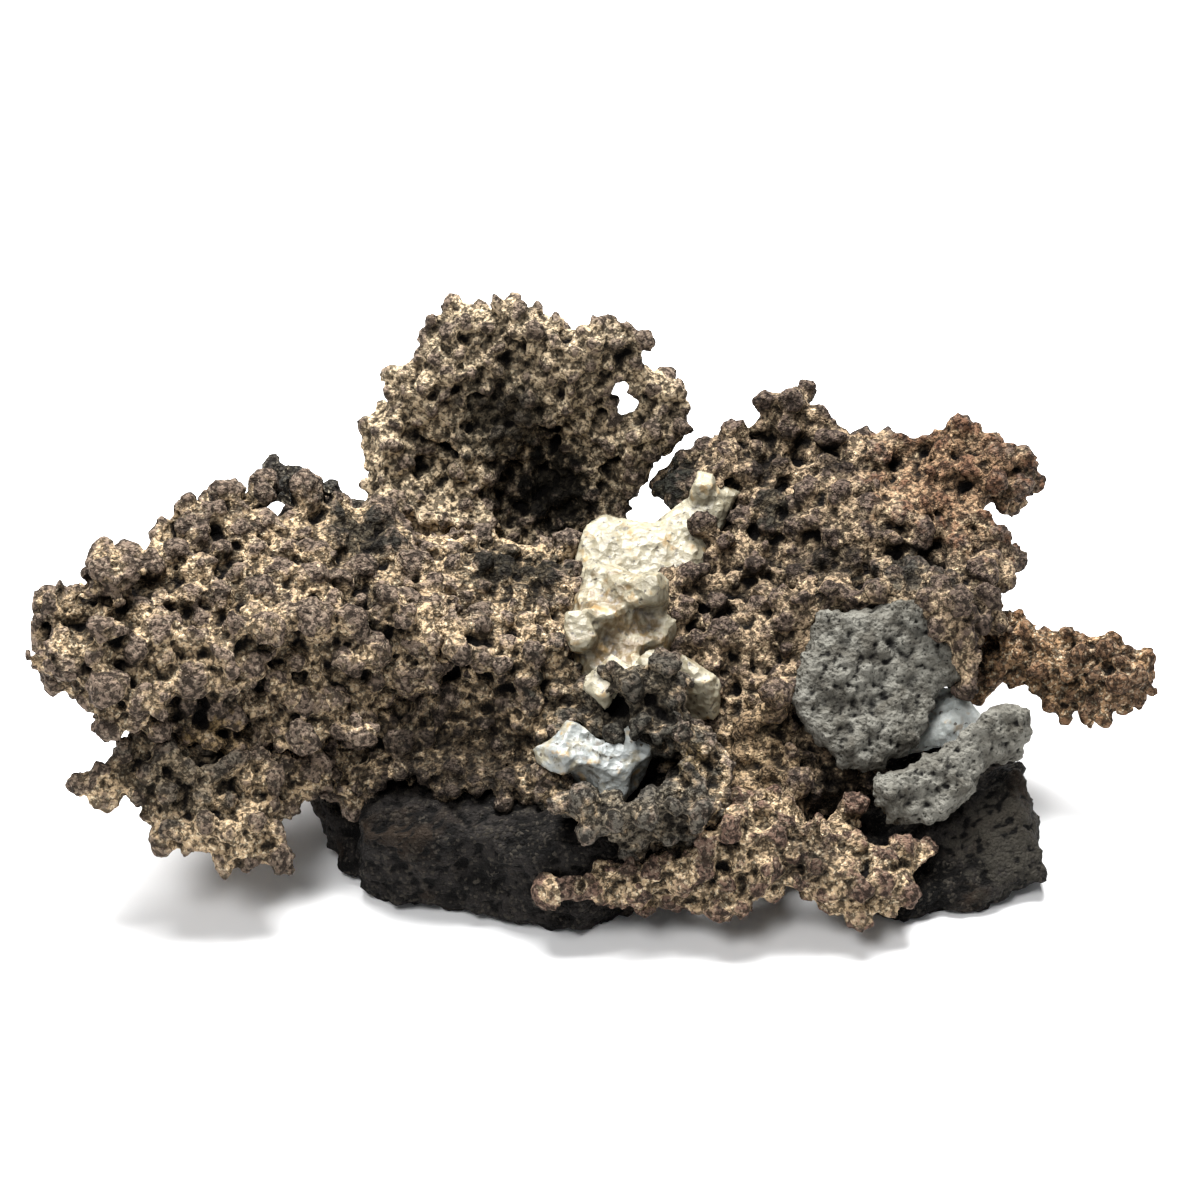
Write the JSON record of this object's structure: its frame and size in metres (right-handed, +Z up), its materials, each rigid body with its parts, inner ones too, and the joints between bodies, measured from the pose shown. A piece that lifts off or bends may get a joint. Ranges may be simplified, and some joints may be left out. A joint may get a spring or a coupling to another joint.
{
  "type": "native silver specimen",
  "caption": "Knobbly native silver with a standing crest, two lobes, a broad wing and white calcite, grown on flat-bottomed dark rock.",
  "frame": {"origin": "on the surface that the specimen stands on, under the middle of its bounding box", "axes": "+Z up, +X along the specimen's length from the left lobe to the right arm, -Y towards the front"},
  "size_m": [0.0866, 0.0466, 0.0337],
  "materials": {
    "tarnished_silver": "native silver with brown tarnish, knobbly, golden tan on its flanks and near black in its hollows",
    "grey_sulphide": "grey granular silver sulphide, pitted, dull",
    "white_calcite": "white to cream, slightly translucent",
    "dark_rock": "near black, fine grained, broken"
  },
  "bodies": {
    "root": {"dark_rock": "dark_rock", "upper_plate": "grey_sulphide", "lower_plate": "grey_sulphide", "calcite_heart": "white_calcite", "calcite_front": "white_calcite", "calcite_side": "white_calcite", "central_knot": "tarnished_silver", "crest": "tarnished_silver", "left_lobe": "tarnished_silver", "lower_left_lobe": "tarnished_silver", "back_spur": "tarnished_silver", "wing": "tarnished_silver", "right_arm": "tarnished_silver", "apron": "tarnished_silver"}
  },
  "joints": []
}
